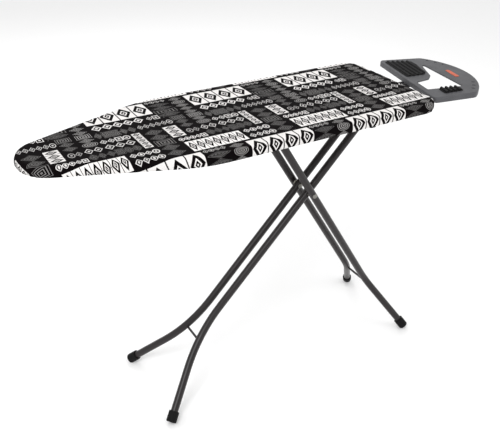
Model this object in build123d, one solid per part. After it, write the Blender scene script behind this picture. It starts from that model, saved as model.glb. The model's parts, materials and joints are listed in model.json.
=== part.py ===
from build123d import *
import math
import os

# Ironing board on folding scissor legs, in millimetres.
# +X runs from the nose to the iron rest, +Y is the board's left side, +Z is up.
# The origin is on the floor, under the middle of the whole length.

# ---------------------------------------------------------------- driving dimensions
total_length = 1360.0
board_length = 1100.0
board_width = 400.0
board_height = 840.0
rim_depth = 28.0
nose_radius = 83.0
taper_corner = 377.0
shoulder_radius = 353.0
end_corner_radius = 53.0

cover_thickness = 1.2
cover_edge_radius = 8.0
hem_width = 30.0
pad_side_gap = 0.8
pad_gap = 0.3
pad_edge_radius = 6.0
mesh_top_height = 832.0
mesh_thickness = 1.2
mesh_border = 12.0
steam_slot_length = 44.0
steam_slot_width = 11.0
steam_pitch_x = 58.0
steam_pitch_y = 24.0
steam_rows = 7
steam_columns = 12
frame_inset = 4.0
frame_rail_width = 10.0
frame_rail_height = 16.0
frame_edge_radius = 3.0
cross_rail_height = 8.0
cross_rail_width = 16.0
pivot_rail_width = 30.0
end_rail_x = 362.0
end_rail_width = 18.0
nose_rail_x = -530.0
pressed_sheet = 1.5

tube_radius = 11.0
tube_wall = 1.5
base_height = 11.0
pivot_x = 341.0
pivot_z = 795.4
inner_foot_x = -408.0
outer_foot_x = 458.5
outer_reach_x = -32.7
inner_half_gap = 25.0
outer_half_gap = 48.4
inner_foot_spread = 150.0
outer_foot_spread = 154.0
splay_angle = 29.3
inner_bend_radius = 400.0
outer_bend_radius = 150.0
inner_brace_place = 213.0
outer_brace_place = 168.0
brace_radius = 3.5

cap_radius = 15.0
cap_length = 32.0
cap_end = 4.0
cap_rounding = 4.0
cap_flat_depth = 1.5
cap_fit = 0.1

axle_radius = 5.0
axle_half_length = 36.3
running_gap = 0.05
drill_reach = 15.0
rivet_radius = 4.0
rivet_head_radius = 7.5
rivet_head_height = 2.6
rivet_inner_play = 0.2
rivet_outer_play = 0.3
washer_inner_play = 0.1
washer_outer_play = 0.3
cross_washer_radius = 9.0
pivot_washer_radius = 10.0
bar_offset = 18.0
bar_radius = 5.0
bar_half_length = 94.5
glide_radius = 6.5
glide_y_low = 83.0
glide_y_high = 93.0
lug_width = 15.0
lug_half_sheet = 3.0
lug_seat = 6.0
plug_head = 2.0
plug_stem = 5.0

rail_web_y = 96.0
rail_start = -306.0
rail_end = 22.0
rail_bottom = 804.5
rail_top_flange = 14.0
rail_low_flange = 11.0
rail_notches = 7
rail_notch_margin = 40.0
rail_notch_radius = 6.0

lever_x = 200.0
lever_y = -125.0
lever_arm = 25.0
lever_bottom = 804.0
lever_sheet = 3.0

tray_top = 836.0
tray_wall = 2.5
tray_plate = 3.0
tray_skirt = 16.0
tray_radius = 216.0
tray_turn = 13.5
tray_centre_back = 17.0
tray_inner_edge = 13.0
tray_half_width = 172.0
tray_taper = 4.5
tray_edge_radius = 4.0
tray_inner_corner = 12.0
tray_outer_corner = 26.0
tray_rib_sheet = 2.0

# ---------------------------------------------------------------- derived places
nose_x = -total_length / 2
end_x = nose_x + board_length
half_width = board_width / 2
rim_bottom = board_height - rim_depth
mesh_bottom = mesh_top_height - mesh_thickness
frame_inner = frame_inset + frame_rail_width

corner_run = taper_corner - nose_radius
corner_reach = math.hypot(corner_run, half_width)
taper_angle = math.atan2(half_width, corner_run) - math.asin(nose_radius / corner_reach)
shoulder_x = nose_x + taper_corner + shoulder_radius * math.tan(taper_angle / 2)

leg_rise = pivot_z - base_height
inner_angle = math.atan2(leg_rise, pivot_x - inner_foot_x)
outer_angle = math.atan2(leg_rise, outer_foot_x - outer_reach_x)
inner_length = leg_rise / math.sin(inner_angle)
cross_share = (outer_foot_x - inner_foot_x) / (pivot_x - inner_foot_x + outer_foot_x - outer_reach_x)
cross_x = inner_foot_x + cross_share * (pivot_x - inner_foot_x)
cross_z = base_height + cross_share * leg_rise
inner_cross = cross_share * inner_length
outer_cross = cross_share * leg_rise / math.sin(outer_angle)
inner_upper = inner_length - inner_cross
outer_upper = inner_upper * math.sin(inner_angle) + bar_offset * (1 - math.cos(outer_angle))
outer_upper = outer_upper / math.sin(outer_angle)
outer_bar = outer_cross + outer_upper

notch_pitch = (rail_end - rail_start - 2 * rail_notch_margin) / (rail_notches - 1)
swivel_x = total_length / 2 - tray_radius + tray_centre_back * math.cos(math.radians(tray_turn))


# ---------------------------------------------------------------- helpers
def block(x_low, x_high, y_low, y_high, z_low, z_high):
    """Box between two corners."""
    middle = Pos((x_low + x_high) / 2, (y_low + y_high) / 2, (z_low + z_high) / 2)
    return middle * Box(x_high - x_low, y_high - y_low, z_high - z_low)


def rod_y(x, z, y_low, y_high, radius):
    """Cylinder along Y."""
    return Pos(x, (y_low + y_high) / 2, z) * Rot(90, 0, 0) * Cylinder(radius, y_high - y_low)


def rod_x(y, z, x_low, x_high, radius):
    """Cylinder along X."""
    return Pos((x_low + x_high) / 2, y, z) * Rot(0, 90, 0) * Cylinder(radius, x_high - x_low)


def rod_z(x, y, z_low, z_high, radius):
    """Cylinder along Z."""
    return Pos(x, y, (z_low + z_high) / 2) * Cylinder(radius, z_high - z_low)


def polar(centre, radius, degrees):
    """Point on a circle."""
    angle = math.radians(degrees)
    return (centre[0] + radius * math.cos(angle), centre[1] + radius * math.sin(angle))


def board_face(inset):
    """Board outline moved inward: nose arc, tapered sides, shoulders, parallel sides, end corners."""
    nose = (nose_x + nose_radius, 0)
    tilt = 90 + math.degrees(taper_angle)
    nose_arc_radius = nose_radius - inset
    shoulder_arc_radius = shoulder_radius - inset
    corner_arc_radius = end_corner_radius - inset
    upper_nose = polar(nose, nose_arc_radius, tilt)
    lower_nose = polar(nose, nose_arc_radius, -tilt)
    edges = [ThreePointArc(lower_nose, polar(nose, nose_arc_radius, 180), upper_nose)]
    for side in (1, -1):
        shoulder = (shoulder_x, side * (half_width - shoulder_radius))
        corner = (end_x - end_corner_radius, side * (half_width - end_corner_radius))
        nose_end = polar(nose, nose_arc_radius, side * tilt)
        shoulder_start = polar(shoulder, shoulder_arc_radius, side * tilt)
        shoulder_middle = polar(shoulder, shoulder_arc_radius, side * (tilt + 90) / 2)
        shoulder_end = polar(shoulder, shoulder_arc_radius, side * 90)
        corner_start = polar(corner, corner_arc_radius, side * 90)
        corner_middle = polar(corner, corner_arc_radius, side * 45)
        corner_end = polar(corner, corner_arc_radius, 0)
        edges.append(Line(nose_end, shoulder_start))
        edges.append(ThreePointArc(shoulder_start, shoulder_middle, shoulder_end))
        edges.append(Line(shoulder_end, corner_start))
        edges.append(ThreePointArc(corner_start, corner_middle, corner_end))
        edges.append(Line(corner_end, (corner_end[0], 0)))
    return make_face(Curve() + edges)


def board_slab(inset, z_low, z_high):
    """Slab with the board's outline between two heights."""
    return extrude(Pos(0, 0, z_low) * board_face(inset), z_high - z_low)


def level_edges(solid, height):
    """Edges that lie flat at one height."""
    low = height - 0.01
    high = height + 0.01
    return solid.edges().filter_by_position(Axis.Z, low, high)


# ---------------------------------------------------------------- board top
def make_cover():
    """Fabric cover: top skin, side skirt and the hem turned under the rim."""
    outer = board_slab(0, rim_bottom, board_height)
    outer = fillet(level_edges(outer, board_height), cover_edge_radius)
    inner = board_slab(cover_thickness, rim_bottom + cover_thickness, board_height - cover_thickness)
    inner_radius = cover_edge_radius - cover_thickness
    inner = fillet(level_edges(inner, board_height - cover_thickness), inner_radius)
    mouth = board_slab(hem_width, rim_bottom - 1, rim_bottom + cover_thickness + 1)
    return outer - inner - mouth


def make_pad():
    """Foam pad between the steel mesh and the cover."""
    top = board_height - cover_thickness - pad_gap
    slab = board_slab(cover_thickness + pad_side_gap, mesh_top_height + pad_gap, top)
    return fillet(level_edges(slab, top), pad_edge_radius)


def make_mesh():
    """Steel top sheet with staggered steam slots."""
    sheet = board_slab(frame_inset, mesh_bottom, mesh_top_height)
    field = board_face(frame_inner + mesh_border)
    slots = []
    for row in range(-steam_rows, steam_rows + 1):
        shift = steam_pitch_x / 2 if row % 2 else 0
        for column in range(-steam_columns, steam_columns):
            x = column * steam_pitch_x + shift
            y = row * steam_pitch_y
            ends = [(x - steam_slot_length / 2, y, 0), (x + steam_slot_length / 2, y, 0)]
            if all(field.is_inside(Vector(*point)) for point in ends):
                slots.append(Pos(x, y, mesh_bottom - 1) * SlotOverall(steam_slot_length, steam_slot_width))
    return sheet - extrude(Sketch() + slots, mesh_thickness + 2)


def make_edge_frame():
    """Steel rail that runs round under the edge of the mesh."""
    bottom = mesh_bottom - frame_rail_height
    ring = board_slab(frame_inset, bottom, mesh_bottom) - board_slab(frame_inner, bottom, mesh_bottom)
    return fillet(level_edges(ring, bottom), frame_edge_radius)


def make_cross_rail(x_low, width):
    """Pressed channel across the frame, open downwards."""
    x_high = x_low + width
    bottom = mesh_bottom - cross_rail_height
    bar = block(x_low, x_high, -half_width, half_width, bottom, mesh_bottom)
    groove_top = mesh_bottom - pressed_sheet
    groove = block(x_low + pressed_sheet, x_high - pressed_sheet, -half_width, half_width, bottom, groove_top)
    return (bar - groove) & board_slab(frame_inner, bottom, mesh_bottom)


def make_guide_rail(side):
    """Channel that guides one end of the sliding top bar, with height notches in its lower flange."""
    web_outer = rail_web_y + pressed_sheet
    top_inner = rail_web_y - rail_top_flange
    low_inner = rail_web_y - rail_low_flange
    web = block(rail_start, rail_end, rail_web_y, web_outer, rail_bottom, mesh_bottom)
    top = block(rail_start, rail_end, top_inner, web_outer, mesh_bottom - pressed_sheet, mesh_bottom)
    low = block(rail_start, rail_end, low_inner, web_outer, rail_bottom, rail_bottom + pressed_sheet)
    rail = web + top + low
    for index in range(rail_notches):
        notch_x = rail_end - rail_notch_margin - index * notch_pitch
        rail = rail - rod_z(notch_x, low_inner, rail_bottom - 1, rail_bottom + 3, rail_notch_radius)
    return rail if side > 0 else mirror(rail, Plane.XZ)


# ---------------------------------------------------------------- pivot bracket and its rail
ear_inner = 9.5
ear_outer = 12.5
ear_radius = 15.0
bracket_plate_top = mesh_bottom - cross_rail_height
bracket_plate_bottom = bracket_plate_top - 3.0
bracket_plate_x = 18.0
bracket_plate_y = 32.0
bracket_rivet_x = 13.0
bracket_rivet_y = 26.0
bracket_rivet_radius = 2.5
bracket_head_radius = 4.2
bracket_head_height = 1.8
head_rounding = 1.5


def bracket_rivet_places():
    """Four rivet places on the bracket's two wings."""
    return [(pivot_x + bracket_rivet_x * sx, bracket_rivet_y * sy) for sx in (-1, 1) for sy in (-1, 1)]


def make_pivot_bracket():
    """Steel bracket with two ears between the inner leg's tubes."""
    x_low = pivot_x - bracket_plate_x
    x_high = pivot_x + bracket_plate_x
    bracket = block(x_low, x_high, -bracket_plate_y, bracket_plate_y, bracket_plate_bottom, bracket_plate_top)
    for side in (-1, 1):
        low, high = sorted((side * ear_inner, side * ear_outer))
        ear = block(pivot_x - ear_radius, pivot_x + ear_radius, low, high, pivot_z, bracket_plate_bottom)
        bracket = bracket + ear + rod_y(pivot_x, pivot_z, low, high, ear_radius)
    bracket = bracket - rod_y(pivot_x, pivot_z, -drill_reach, drill_reach, axle_radius + running_gap)
    for x, y in bracket_rivet_places():
        bracket = bracket - rod_z(x, y, bracket_plate_bottom - 1, bracket_plate_top + 1, bracket_rivet_radius)
    return bracket


def make_bracket_rivets():
    """Rivets that hold the pivot bracket to the pivot rail's flanges."""
    rivets = []
    for x, y in bracket_rivet_places():
        head_low = bracket_plate_bottom - bracket_head_height
        head = rod_z(x, y, head_low, bracket_plate_bottom, bracket_head_radius)
        head = fillet(level_edges(head, head_low), head_rounding)
        rivets.append(head + rod_z(x, y, bracket_plate_bottom, bracket_plate_top, bracket_rivet_radius))
    return rivets


# ---------------------------------------------------------------- legs
class Leg:
    """One flat leg frame of two tubes that splay apart towards the feet."""

    def __init__(self, foot_x, lean, angle, half_gap, spread, bend_radius, top_run):
        self.half_gap = half_gap
        self.bend_radius = bend_radius
        self.spread = spread
        self.top_run = top_run
        along = (lean * math.cos(angle), 0, math.sin(angle))
        across = (-math.sin(angle), 0, lean * math.cos(angle))
        self.plane = Plane(origin=(foot_x, 0, base_height), x_dir=along, z_dir=across)
        self.slope = math.tan(math.radians(splay_angle))
        self.corner = (spread - half_gap) / self.slope
        tilt = math.acos(math.cos(math.radians(splay_angle)) * math.sin(angle))
        sink = (cap_radius - cap_rounding) * math.sin(tilt) + cap_rounding * (1 - math.cos(tilt))
        self.end_place = (sink - cap_flat_depth - base_height) / math.sin(angle)

    def centre_line(self, side, cap_end_gap):
        """Centre line of one tube, from its top to short of the foot cap's outer end."""
        end_y = self.spread - self.slope * self.end_place
        angle = math.radians(splay_angle)
        foot = (self.end_place + cap_end_gap * math.cos(angle), end_y - cap_end_gap * math.sin(angle))
        points = [(self.top_run, self.half_gap), (self.corner, self.half_gap), foot]
        path = FilletPolyline(*[(s, side * y) for s, y in points], radius=self.bend_radius)
        return self.plane * path

    def swept(self, side, radius):
        """Solid rod of the given radius along one tube's centre line."""
        path = self.centre_line(side, cap_end)
        start = Plane(origin=path @ 0, z_dir=path % 0)
        return sweep(start * Circle(radius), path=path)

    def tube(self, side):
        """One bent tube, open at both ends."""
        return self.swept(side, tube_radius) - self.swept(side, tube_radius - tube_wall)

    def foot_cap(self, side):
        """Push-on foot cap with a small flat that stands on the floor."""
        path = self.centre_line(side, 0)
        tip = Plane(origin=path @ 1, z_dir=path % 1)
        cap = tip * Pos(0, 0, -cap_length / 2) * Cylinder(cap_radius, cap_length)
        cap = fillet(cap.edges().filter_by(GeomType.CIRCLE).sort_by_distance(path @ 1)[0], cap_rounding)
        bore_length = cap_length - cap_end
        bore = Cylinder(tube_radius + cap_fit, bore_length + 2)
        cap = cap - tip * Pos(0, 0, -cap_end - (bore_length + 2) / 2) * bore
        return cap - block(-total_length, total_length, -400, 400, -50, 0)

    def offset_at(self, place):
        """Distance of a tube's centre line from the middle, inside the bend."""
        tangent = self.bend_radius * math.tan(math.radians(splay_angle) / 2)
        bend_start = self.corner + tangent
        drop = math.sqrt(self.bend_radius ** 2 - (bend_start - place) ** 2)
        return self.half_gap + self.bend_radius - drop

    def brace(self, place):
        """Round brace between the tubes, with its ends shaped to them."""
        reach = self.offset_at(place)
        centre = self.plane.from_local_coords(Vector(place, 0, 0))
        rod = rod_y(centre.X, centre.Z, -reach, reach, brace_radius)
        return rod - self.swept(1, tube_radius) - self.swept(-1, tube_radius)

    def plug(self, side):
        """Round plug in the top end of one tube."""
        end = (self.top_run, side * self.half_gap, 0)
        face = self.plane * Plane(origin=end, x_dir=(0, 1, 0), z_dir=(1, 0, 0))
        head = face * Pos(0, 0, plug_head / 2) * Cylinder(tube_radius, plug_head)
        stem_radius = tube_radius - tube_wall - cap_fit
        stem = face * Pos(0, 0, -plug_stem / 2) * Cylinder(stem_radius, plug_stem)
        return head + stem


top_overrun = 12.0
inner_leg = Leg(inner_foot_x, 1, inner_angle, inner_half_gap, inner_foot_spread,
                inner_bend_radius, inner_length + top_overrun)
outer_leg = Leg(outer_foot_x, -1, outer_angle, outer_half_gap, outer_foot_spread,
                outer_bend_radius, outer_bar + top_overrun)
bar_place = outer_leg.plane.from_local_coords(Vector(outer_bar, 0, -bar_offset))


def make_inner_tube(side):
    """Inner leg tube with holes for the top axle and the crossing rivet."""
    low = side * inner_half_gap - drill_reach
    high = side * inner_half_gap + drill_reach
    tube = inner_leg.tube(side)
    tube = tube - rod_y(pivot_x, pivot_z, low, high, axle_radius + running_gap)
    return tube - rod_y(cross_x, cross_z, low, high, rivet_radius + running_gap)


def make_outer_tube(side):
    """Outer leg tube with a hole for the crossing rivet."""
    low = side * outer_half_gap - drill_reach
    high = side * outer_half_gap + drill_reach
    return outer_leg.tube(side) - rod_y(cross_x, cross_z, low, high, rivet_radius + running_gap)


def make_cross_rivets():
    """Two rivets that join the inner and outer tubes where they cross."""
    rivets = []
    for side in (-1, 1):
        inside = side * (inner_half_gap - tube_radius - rivet_inner_play)
        outside = side * (outer_half_gap + tube_radius + rivet_outer_play)
        shank = rod_y(cross_x, cross_z, *sorted((inside, outside)), rivet_radius)
        for start, outward in ((inside, -side), (outside, side)):
            end = start + outward * rivet_head_height
            low, high = sorted((start, end))
            head = rod_y(cross_x, cross_z, low, high, rivet_head_radius)
            tip = Vector(cross_x, end, cross_z)
            head = fillet(head.edges().filter_by(GeomType.CIRCLE).sort_by_distance(tip)[0], 2.0)
            shank = shank + head
        rivets.append(shank)
    return rivets


def make_rings(x, z, near, far, inner_radius, outer_radius):
    """Two flat washers along Y, one on each side of the middle."""
    rings = []
    for low, high in ((near, far), (-far, -near)):
        rings.append(rod_y(x, z, low, high, outer_radius) - rod_y(x, z, low, high, inner_radius))
    return rings


def make_bar_lugs():
    """Two ears on the outer leg's tube tops that carry the top bar."""
    lugs = []
    for side in (-1, 1):
        y_middle = side * outer_half_gap
        seat = outer_leg.plane.from_local_coords(Vector(outer_bar - lug_seat, y_middle, 0))
        eye = Vector(bar_place.X, y_middle, bar_place.Z)
        run = eye - seat
        place = Plane(origin=(seat + eye) / 2, x_dir=run, z_dir=(0, 1, 0))
        lug = place * extrude(SlotCenterToCenter(run.length, lug_width), lug_half_sheet, both=True)
        lug = lug - outer_leg.swept(side, tube_radius)
        low = y_middle - drill_reach
        high = y_middle + drill_reach
        lugs.append(lug - rod_y(bar_place.X, bar_place.Z, low, high, bar_radius + running_gap))
    return lugs


# ---------------------------------------------------------------- height lever and lock
lever_slot_width = 5.0
lever_slot_length = 12.0
lever_width = 16.0
lever_run = 87.0
lever_middle = -9.5
lever_corner = 7.0
grip_fit = 0.1
lever_plate_x = 25.0
lever_plate_y = 22.0
lever_plate_sheet = 2.0
lever_post_radius = 7.0
lever_play = 0.4
rod_radius = 2.0
pin_radius = 3.0
pin_head_radius = 6.0
pin_head_low = 2.5
spring_pitch = 2.4
spring_height = 9.6
spring_radius = 8.2
spring_wire_radius = 0.7
lever_top = lever_bottom + lever_sheet
lock_y = lever_y + lever_arm
lock_z = 812.0
comb_half_sheet = 1.0
comb_start = -290.0
comb_end = 16.0
comb_bottom = 806.0
comb_top = 826.0
comb_notch_radius = 5.5
comb_notch_shift = 3.0


def make_height_lever():
    """Flat hand lever on a vertical pin."""
    outline = Pos(lever_x, lever_y + lever_middle, lever_bottom) * Rectangle(lever_width, lever_run)
    plate = fillet(extrude(outline, lever_sheet).edges().filter_by(Axis.Z), lever_corner)
    plate = plate - rod_z(lever_x, lever_y, lever_bottom - 1, lever_top + 1, pin_radius + running_gap)
    slot = SlotOverall(lever_slot_length, lever_slot_width)
    slot = Pos(lever_x, lock_y, lever_bottom - 1) * Rot(0, 0, 90) * slot
    return plate - extrude(slot, lever_sheet + 2)


def make_lever_grip():
    """Plastic grip pushed over the lever's outer end."""
    grip = Pos(lever_x, lever_y - 36, lever_bottom + lever_sheet / 2) * Box(24, 40, 11)
    grip = fillet(grip.edges().filter_by(Axis.Z), 8.0)
    grip = fillet(grip.faces().sort_by(Axis.Z)[-1].edges(), 2.5)
    grip = fillet(grip.faces().sort_by(Axis.Z)[0].edges(), 2.5)
    half = lever_width / 2 + grip_fit
    tongue_end = lever_y + lever_middle - lever_run / 2 - grip_fit
    low = lever_bottom - grip_fit
    high = lever_top + grip_fit
    return grip - block(lever_x - half, lever_x + half, tongue_end, lever_y, low, high)


def make_lever_bracket():
    """Plate and round post under the mesh that hold the lever's pin."""
    x_low = lever_x - lever_plate_x
    x_high = lever_x + lever_plate_x
    plate_low = mesh_bottom - lever_plate_sheet
    plate = block(x_low, x_high, lever_y - lever_plate_y, lever_y + lever_plate_y, plate_low, mesh_bottom)
    post = rod_z(lever_x, lever_y, lever_top + lever_play, plate_low, lever_post_radius)
    return plate + post - rod_z(lever_x, lever_y, lever_top, plate_low, pin_radius)


def make_lever_pin():
    """Headed pin from below through the lever into the post."""
    head_top = lever_bottom - lever_play
    head = rod_z(lever_x, lever_y, lever_bottom - pin_head_low, head_top, pin_head_radius)
    return head + rod_z(lever_x, lever_y, head_top, mesh_bottom - 2 * lever_plate_sheet, pin_radius)


def make_lever_spring():
    """Coil of the torsion spring around the lever's post."""
    coil = Helix(pitch=spring_pitch, height=spring_height, radius=spring_radius)
    coil = Pos(lever_x, lever_y, lever_top + lever_sheet) * coil
    start = Plane(origin=coil @ 0, z_dir=coil % 0)
    return sweep(start * Circle(spring_wire_radius), path=coil, is_frenet=True)


def make_lock_comb():
    """Notched plate that slides beside the right guide rail."""
    low = lock_y - comb_half_sheet
    high = lock_y + comb_half_sheet
    comb = block(comb_start, comb_end, low, high, comb_bottom, comb_top)
    for index in range(rail_notches):
        notch_x = rail_end - rail_notch_margin - comb_notch_shift - index * notch_pitch
        comb = comb - rod_y(notch_x, comb_bottom, low - 1, high + 1, comb_notch_radius)
    return comb


def make_lock_rod():
    """Pull rod from the comb to the lever, with a pin down into the lever's slot."""
    rod = rod_x(lock_y, lock_z, comb_end, lever_x, rod_radius)
    pin = rod_z(lever_x, lock_y, lever_bottom - 2, lock_z, rod_radius)
    return rod + pin + Pos(lever_x, lock_y, lock_z) * Sphere(rod_radius)


# ---------------------------------------------------------------- iron rest
swivel = Pos(swivel_x, 0, 0) * Rot(0, 0, -tray_turn)
opening_points = [(104, 97), (119, -97), (112, -105), (2, -105), (2, -39), (53, -23), (71, -1), (93, 88)]
rear_pad_points = [(-5, 6), (58, 13), (67, 22), (80, 100), (78, 132), (-5, 150)]
front_pad_points = [(31, -147), (34, -110), (101, -110), (97, -139)]
opening_rounding = 4.0
opening_collar = 1.5
tray_ribs = [(-60, 2), (60, 66), (120, 66)]
boss_radius = 13.0
boss_drop = 0.7
air_slot_places = (-40.6, -32.6, -24.6, 24.6, 32.6, 40.6)
air_slot_inset = 15.5
air_slot_length = 11.0
air_slot_width = 8.0
pad_base = 1.5
pad_rounding = 5.0
rib_pitch = 15.0
rib_half_width = 4.0
rib_rounding = 3.5
rib_shift = 0.7
badge_x = 146.0
badge_length = 60.0
badge_width = 14.0
badge_corner = 5.0
badge_height = 1.0
badge_edge_radius = 0.6


def tray_face(inset):
    """Tray outline: a round outer end cut by the inner edge and two tapering sides."""
    taper = math.tan(math.radians(tray_taper))
    length = tray_radius + tray_inner_edge
    near = tray_half_width - inset
    far = near - taper * length
    points = [(-tray_inner_edge + inset, near), (-tray_inner_edge + inset, -near)]
    points = points + [(length, -far), (length, far)]
    disc = Pos(-tray_centre_back, 0) * Circle(tray_radius - inset)
    face = disc & make_face(Polyline(*points, close=True))
    corners = face.vertices().sort_by(Axis.X)
    face = fillet(corners[:2], tray_inner_corner - inset)
    return fillet(face.vertices().sort_by(Axis.X)[-2:], tray_outer_corner - inset)


def rest_prism(points, z_low, z_high, rounding, grow=0.0):
    """Prism over a rounded polygon in the tray's own plane."""
    face = make_face(Polyline(*points, close=True))
    face = fillet(face.vertices(), rounding)
    if grow:
        face = offset(face, grow)
    return extrude(Pos(0, 0, z_low) * face, z_high - z_low)


def make_tray():
    """Iron rest: thin plate with a skirt, a collared opening, a pivot boss and air slots."""
    bottom = tray_top - tray_skirt
    under = tray_top - tray_plate
    body = extrude(Pos(0, 0, bottom) * tray_face(0), tray_skirt)
    body = fillet(level_edges(body, tray_top), tray_edge_radius)
    hollow = extrude(Pos(0, 0, bottom) * tray_face(tray_wall), tray_skirt - tray_plate)
    body = body - hollow
    body = body + rest_prism(opening_points, under - opening_collar, under, opening_rounding, grow=tray_wall)
    body = body - rest_prism(opening_points, bottom - 1, tray_top + 1, opening_rounding)
    boss = rod_z(0, 0, bottom - boss_drop, under, boss_radius)
    body = body + boss - rod_z(0, 0, bottom - 1, under - 1.5, axle_radius + running_gap)
    rib_start = 1 - tray_inner_edge
    for rib_y, rib_end in tray_ribs:
        low = rib_y - tray_rib_sheet / 2
        high = rib_y + tray_rib_sheet / 2
        body = body + block(rib_start, rib_end, low, high, bottom + 4, under)
    for degrees in air_slot_places:
        x, y = polar((-tray_centre_back, 0), tray_radius - air_slot_inset, degrees)
        slot = Pos(x, y, under - 1) * Rot(0, 0, degrees) * SlotOverall(air_slot_length, air_slot_width)
        body = body - extrude(slot, tray_plate + 2)
    return swivel * body


def make_rest_pad(points, rib_height):
    """Silicone pad with rounded ribs across it."""
    low_x = min(x for x, y in points)
    high_x = max(x for x, y in points)
    low_y = min(y for x, y in points)
    high_y = max(y for x, y in points)
    rib_top = tray_top + pad_base + rib_height
    pad = rest_prism(points, tray_top, tray_top + pad_base, pad_rounding)
    rib_field = rest_prism(points, tray_top, rib_top, pad_rounding)
    for index in range(int((high_x - low_x) / rib_pitch)):
        x = low_x + (index + rib_shift) * rib_pitch
        rib = block(x - rib_half_width, x + rib_half_width, low_y, high_y, tray_top, rib_top)
        rib = fillet(level_edges(rib, rib_top).filter_by(Axis.Y), rib_rounding)
        pad = pad + (rib & rib_field)
    return swivel * pad


def make_badge():
    """Plain raised strip on the tray's outer end."""
    outline = Rot(0, 0, 90) * RectangleRounded(badge_length, badge_width, badge_corner)
    strip = extrude(Pos(badge_x, 0, tray_top) * outline, badge_height)
    return swivel * fillet(level_edges(strip, tray_top + badge_height), badge_edge_radius)


arm_half_width = 22.0
arm_sheet = 3.0
arm_low = 808.0
arm_high = 815.0
arm_end_corner = 18.0
arm_bolt_x = 371.0
arm_bolt_y = 12.0
bolt_head_radius = 4.5
bolt_head_height = 2.5
swivel_head_radius = 9.0
swivel_head_height = 3.5
swivel_washer_radius = 12.0
arm_top_start = mesh_bottom - cross_rail_height - arm_sheet


def make_rest_arm():
    """Bent steel arm from the end rail, under the rim, to the tray's pivot."""
    points = [(360, arm_top_start), (379, arm_top_start), (389, arm_low), (426, arm_low), (434, arm_high)]
    points = points + [(swivel_x + 24, arm_high)]
    upper = [(x, z + arm_sheet) for x, z in reversed(points)]
    profile = make_face(Plane.XZ * Polyline(*points, *upper, close=True))
    arm = extrude(profile, arm_half_width, both=True)
    arm = fillet(arm.edges().filter_by(Axis.Z).sort_by(Axis.X)[-2:], arm_end_corner)
    arm = arm - rod_z(swivel_x, 0, arm_high - 1, arm_high + arm_sheet + 1, axle_radius)
    for y in (-arm_bolt_y, arm_bolt_y):
        high = arm_top_start + arm_sheet + 1
        arm = arm - rod_z(arm_bolt_x, y, arm_top_start - 1, high, bracket_rivet_radius)
    return arm


def make_arm_bolts():
    """Two screws up through the arm into the end rail's channel."""
    head_low = arm_top_start - bolt_head_height
    bolts = []
    for y in (-arm_bolt_y, arm_bolt_y):
        head = rod_z(arm_bolt_x, y, head_low, arm_top_start, bolt_head_radius)
        head = fillet(level_edges(head, head_low), head_rounding)
        shank = rod_z(arm_bolt_x, y, arm_top_start, mesh_bottom - pressed_sheet, bracket_rivet_radius)
        bolts.append(head + shank)
    return bolts


def make_swivel_bolt():
    """Shoulder bolt on which the tray turns."""
    head_low = arm_high - swivel_head_height
    head = rod_z(swivel_x, 0, head_low, arm_high, swivel_head_radius)
    head = fillet(level_edges(head, head_low), head_rounding)
    return head + rod_z(swivel_x, 0, arm_high, tray_top - tray_plate - 2.0, axle_radius)


def make_swivel_washer():
    """Flat washer between the arm and the tray's boss."""
    top = tray_top - tray_skirt - 1.0
    low = arm_high + arm_sheet
    ring = rod_z(swivel_x, 0, low, top, swivel_washer_radius)
    return ring - rod_z(swivel_x, 0, low, top, axle_radius + running_gap)


# ---------------------------------------------------------------- all nodes
washer_low = inner_half_gap + tube_radius + washer_inner_play
washer_high = outer_half_gap - tube_radius - washer_outer_play
pivot_low = ear_outer + washer_inner_play
pivot_high = inner_half_gap - tube_radius - washer_outer_play
both_sides = {"left": 1, "right": -1}

nodes = {
    "ironing_cover": make_cover(),
    "foam_pad": make_pad(),
    "mesh_top": make_mesh(),
    "edge_frame": make_edge_frame(),
    "nose_rail": make_cross_rail(nose_rail_x, cross_rail_width),
    "front_rail": make_cross_rail(rail_start - cross_rail_width, cross_rail_width),
    "middle_rail": make_cross_rail(rail_end, cross_rail_width),
    "pivot_rail": make_cross_rail(pivot_x - pivot_rail_width / 2, pivot_rail_width),
    "end_rail": make_cross_rail(end_rail_x, end_rail_width),
    "pivot_bracket": make_pivot_bracket(),
    "bracket_rivets": make_bracket_rivets(),
    "rest_arm": make_rest_arm(),
    "arm_bolts": make_arm_bolts(),
    "swivel_bolt": make_swivel_bolt(),
    "swivel_washer": make_swivel_washer(),
    "lever_bracket": make_lever_bracket(),
    "lever_pin": make_lever_pin(),
    "lever_spring": make_lever_spring(),
    "iron_rest_tray": make_tray(),
    "rest_pad_rear": make_rest_pad(rear_pad_points, 3.5),
    "rest_pad_front": make_rest_pad(front_pad_points, 5.5),
    "rest_badge": make_badge(),
    "inner_brace": inner_leg.brace(inner_brace_place),
    "pivot_axle": rod_y(pivot_x, pivot_z, -axle_half_length, axle_half_length, axle_radius),
    "cross_rivets": make_cross_rivets(),
    "outer_brace": outer_leg.brace(outer_brace_place),
    "top_bar": rod_y(bar_place.X, bar_place.Z, -bar_half_length, bar_half_length, bar_radius),
    "bar_lugs": make_bar_lugs(),
    "height_lever": make_height_lever(),
    "lever_grip": make_lever_grip(),
    "lock_comb": make_lock_comb(),
    "lock_rod": make_lock_rod(),
}
nodes["cross_washers"] = make_rings(cross_x, cross_z, washer_low, washer_high,
                                    rivet_radius + running_gap, cross_washer_radius)
nodes["pivot_washers"] = make_rings(pivot_x, pivot_z, pivot_low, pivot_high,
                                    axle_radius + running_gap, pivot_washer_radius)
nodes["bar_glides"] = make_rings(bar_place.X, bar_place.Z, glide_y_low, glide_y_high,
                                 bar_radius + running_gap, glide_radius)
nodes["inner_tube_plugs"] = [inner_leg.plug(side) for side in both_sides.values()]
nodes["outer_tube_plugs"] = [outer_leg.plug(side) for side in both_sides.values()]
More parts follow.
